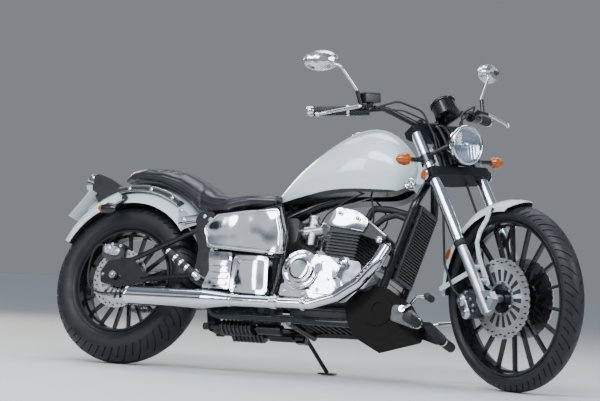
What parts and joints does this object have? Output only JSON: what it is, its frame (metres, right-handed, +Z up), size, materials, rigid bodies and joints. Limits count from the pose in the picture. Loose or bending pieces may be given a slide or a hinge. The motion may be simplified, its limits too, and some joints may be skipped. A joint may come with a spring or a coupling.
{
  "type": "cruiser motorcycle",
  "caption": "White cruiser motorcycle leaning on its side stand, low brown seat, teardrop tank, chrome covers and exhaust, black spoked wheels, steering turned right.",
  "frame": {"origin": "centre of the ground footprint, on the floor that it stands on", "axes": "+X along the machine towards its front, +Y to its left, +Z up"},
  "size_m": [2.2539, 0.9344, 1.2626],
  "materials": {
    "white_paint": "gloss",
    "black_paint": "satin",
    "chrome": "polished",
    "alloy": "satin",
    "steel": "brushed",
    "engine_black": "matt",
    "black_plastic": "matt",
    "rubber": "matt",
    "tyre": "matt",
    "leather": "satin",
    "lens": "clear"
  },
  "bodies": {
    "chassis": {"air_box": "black_plastic", "axle_and_pivot": "steel", "belly_pan": "black_plastic", "carburettors": "alloy", "centre_box": "black_paint", "coolant_hoses": "rubber", "crankcase": "alloy", "cylinder_barrels": "engine_black", "cylinder_head": "engine_black", "drive_chain": "steel", "engine_cover_left": "chrome", "engine_cover_right": "chrome", "exhaust_header": "chrome", "exhaust_muffler": "chrome", "fender_brackets": "chrome", "foot_controls": "chrome", "frame_backbone": "black_paint", "frame_cradle": "black_paint", "frame_downtubes": "black_paint", "frame_neck": "black_paint", "frame_seat_posts": "black_paint", "fuel_tank": "white_paint", "head_cover": "chrome", "lower_covers": "chrome", "number_plate": "white_paint", "passenger_pegs": "chrome", "radiator": "black_paint", "rear_caliper": "alloy", "rear_fender": "white_paint", "rear_fender_straps": "black_paint", "rear_indicators": "chrome", "seat": "leather", "side_covers": "chrome", "stand_bracket": "black_paint", "swingarm": "black_paint", "tail_lamp": "black_plastic", "under_shocks": "black_paint"},
    "steering": {"fork_legs": "alloy", "lower_yoke": "black_paint", "upper_yoke": "black_paint", "handlebar": "black_paint", "grips": "rubber", "bar_controls": "black_plastic", "mirrors": "chrome", "headlight": "chrome", "headlight_lens": "lens", "speedometer": "black_plastic", "front_indicators": "chrome", "front_fender": "white_paint", "front_calipers": "alloy", "brake_hoses": "rubber", "bar_cables": "rubber"},
    "front_wheel": {"front_rim": "black_paint", "front_tyre": "tyre", "front_discs": "steel"},
    "rear_wheel": {"rear_rim": "black_paint", "rear_tyre": "tyre", "rear_disc": "steel", "rear_sprocket": "steel"},
    "stand": {"side_stand": "black_paint"}
  },
  "joints": [
    {"name": "steer", "type": "hinge", "parent": "chassis", "child": "steering", "pos_m": [0.53245, -0.09146, 0.75744], "axis": [-0.4879, 0.2259, 0.8432], "range_deg": [0, 66]},
    {"name": "front_spin", "type": "hinge", "parent": "steering", "child": "front_wheel", "pos_m": [0.82545, -0.23095, 0.33577], "axis": [0.4754, 0.8789, 0.0396], "continuous": true},
    {"name": "rear_spin", "type": "hinge", "parent": "chassis", "child": "rear_wheel", "pos_m": [-0.80088, -0.20961, 0.31652], "axis": [0, 0.9659, -0.2588], "continuous": true},
    {"name": "stand_fold", "type": "hinge", "parent": "chassis", "child": "stand", "pos_m": [-0.06539, -0.09062, 0.14239], "axis": [0.1626, 0.9192, 0.3587], "range_deg": [0, 120]}
  ]
}
